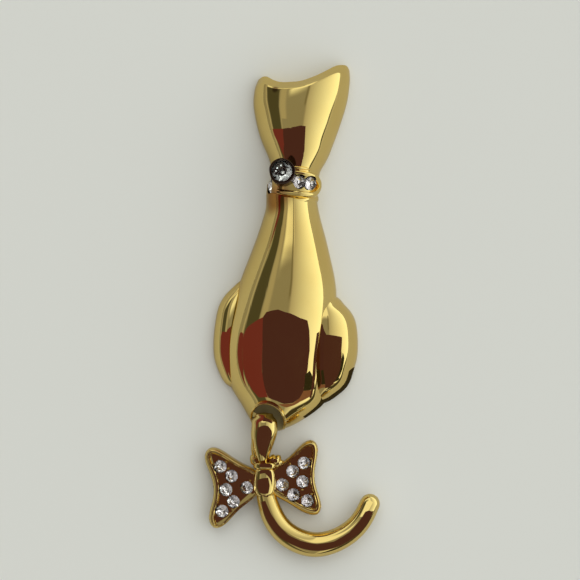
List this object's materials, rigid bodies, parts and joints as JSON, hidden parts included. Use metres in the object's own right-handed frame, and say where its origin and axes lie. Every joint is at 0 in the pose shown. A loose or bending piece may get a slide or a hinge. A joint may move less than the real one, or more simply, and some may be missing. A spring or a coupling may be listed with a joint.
{
  "type": "figural animal brooch",
  "caption": "Gold-plated cast cat brooch seen from behind, with crystals in its collar and bow and a hooked tail that swings on a rivet.",
  "frame": {"origin": "middle of the whole brooch's bounding box in X and Y, on the flat back's plane", "axes": "+Z out of the front, +Y towards the cat's head, +X towards the tip of the hooked tail"},
  "size_m": [0.0264, 0.074, 0.0081],
  "materials": {
    "gold_plate": "mirror-polished gold plating",
    "crystal": "faceted and clear, foiled behind",
    "dark_metal": "blackened, satin",
    "pin_wire": "gilt wire, satin"
  },
  "bodies": {
    "brooch": {"cat_body": "gold_plate", "pin_back": "pin_wire", "stone_cup": "dark_metal", "cup_stone": "crystal", "collar_stone_1": "crystal", "collar_stone_2": "crystal", "collar_stone_3": "crystal"},
    "tail": {"tail": "gold_plate", "bow_stone_left_1": "crystal", "bow_stone_left_2": "crystal", "bow_stone_left_3": "crystal", "bow_stone_left_4": "crystal", "bow_stone_left_5": "crystal", "bow_stone_left_6": "crystal", "bow_stone_right_1": "crystal", "bow_stone_right_2": "crystal", "bow_stone_right_3": "crystal", "bow_stone_right_4": "crystal", "bow_stone_right_5": "crystal", "bow_stone_right_6": "crystal"}
  },
  "joints": [
    {"name": "tail_swing", "type": "hinge", "parent": "brooch", "child": "tail", "pos_m": [-0.00411, -0.01689, 0.0019], "axis": [0, 0, 1], "range_deg": [-20, 20]}
  ]
}
